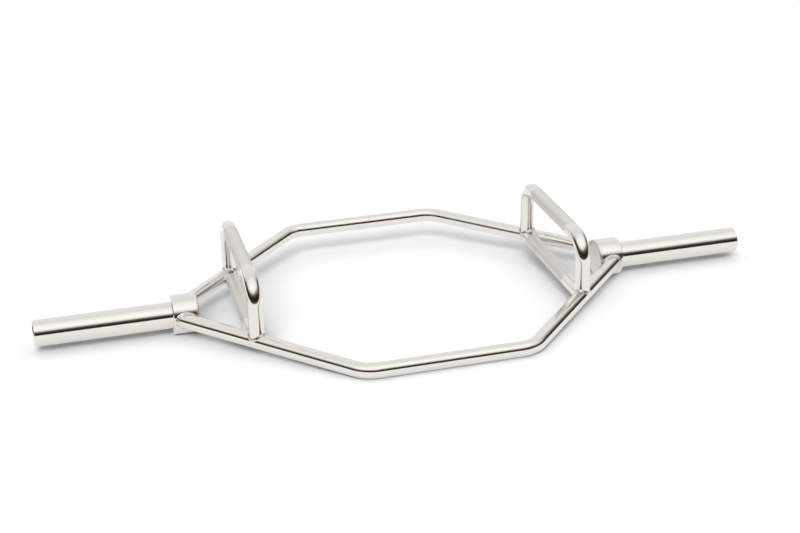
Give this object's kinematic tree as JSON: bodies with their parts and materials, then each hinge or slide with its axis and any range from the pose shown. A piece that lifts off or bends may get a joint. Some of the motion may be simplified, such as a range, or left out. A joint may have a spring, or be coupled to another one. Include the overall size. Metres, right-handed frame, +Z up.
{
  "type": "hex trap bar",
  "caption": "Welded hexagonal lifting bar that the lifter stands inside, with knurled low grips, raised grips and a plain sleeve for weight plates at each end.",
  "frame": {"origin": "on the floor, under the middle of the sleeves' axis", "axes": "+X along the right sleeve, +Y to the rear, +Z up from the floor. The bar lies as it rests, on its two collars and tipped about 4 degrees on to its front bar."},
  "size_m": [1.408, 0.7004, 0.1702],
  "materials": {
    "bright_nickel": "polished plating",
    "knurled_nickel": "plated, knurled on the grip and polished at the bends",
    "weld_metal": "plated weld bead"
  },
  "bodies": {
    "root": {"front_frame_bar": "bright_nickel", "rear_frame_bar": "bright_nickel", "left_collar": "bright_nickel", "right_collar": "bright_nickel", "left_collar_disc": "bright_nickel", "right_collar_disc": "bright_nickel", "left_sleeve": "bright_nickel", "right_sleeve": "bright_nickel", "left_sleeve_plug": "bright_nickel", "right_sleeve_plug": "bright_nickel", "left_cross_bar": "knurled_nickel", "right_cross_bar": "knurled_nickel", "left_raised_handle": "knurled_nickel", "right_raised_handle": "knurled_nickel", "left_sleeve_weld": "weld_metal", "right_sleeve_weld": "weld_metal", "front_left_collar_weld": "weld_metal", "front_right_collar_weld": "weld_metal", "rear_left_collar_weld": "weld_metal", "rear_right_collar_weld": "weld_metal", "front_left_handle_weld": "weld_metal", "front_right_handle_weld": "weld_metal", "rear_left_handle_weld": "weld_metal", "rear_right_handle_weld": "weld_metal", "front_left_cross_bar_weld": "weld_metal", "front_right_cross_bar_weld": "weld_metal", "rear_left_cross_bar_weld": "weld_metal", "rear_right_cross_bar_weld": "weld_metal"}
  },
  "joints": []
}
